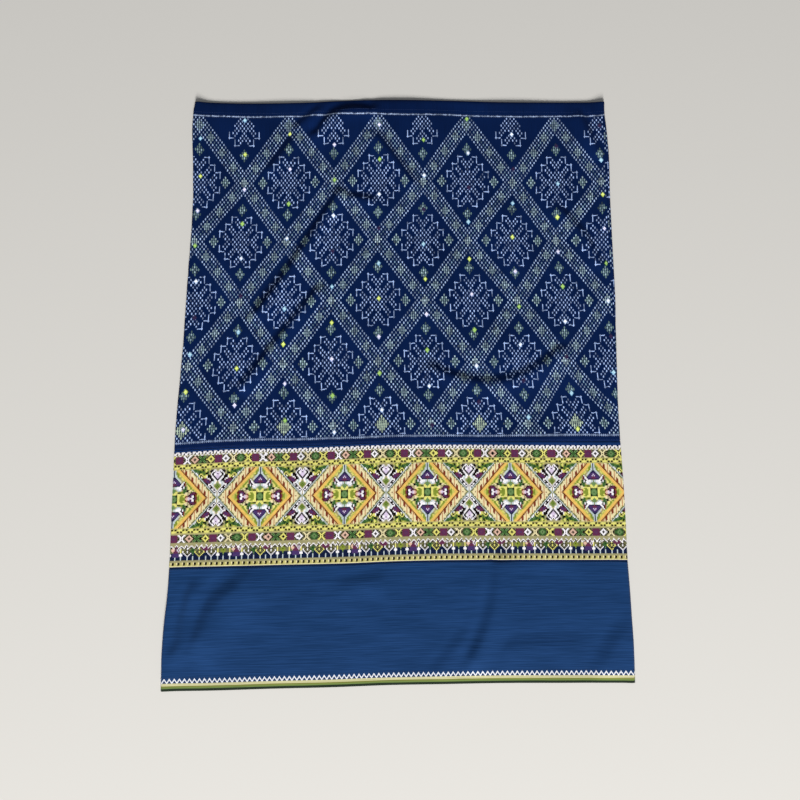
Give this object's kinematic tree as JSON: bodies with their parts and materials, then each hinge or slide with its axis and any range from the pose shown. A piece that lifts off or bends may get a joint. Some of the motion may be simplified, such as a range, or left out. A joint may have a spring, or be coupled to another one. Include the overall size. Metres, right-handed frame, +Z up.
{
  "type": "sinh tube skirt",
  "caption": "Woven tube skirt laid out flat, with a tie-dyed body, a patterned band and a plain foot with a woven hem border.",
  "frame": {"origin": "centre of the laid-out skirt's outline, on the surface that it rests on", "axes": "+Y from the hem to the waist, +X across the skirt to the side with the side seam, +Z up from the surface through both layers"},
  "size_m": [0.7541, 1.008, 0.0058],
  "materials": {
    "tie_dyed_cloth": "fine plain weave, slight sheen",
    "patterned_band": "dense supplementary weft",
    "plain_foot_cloth": "plain weave with cross slubs"
  },
  "bodies": {
    "root": {"body_cloth": "tie_dyed_cloth", "chok_band": "patterned_band", "foot_cloth": "plain_foot_cloth"}
  },
  "joints": []
}
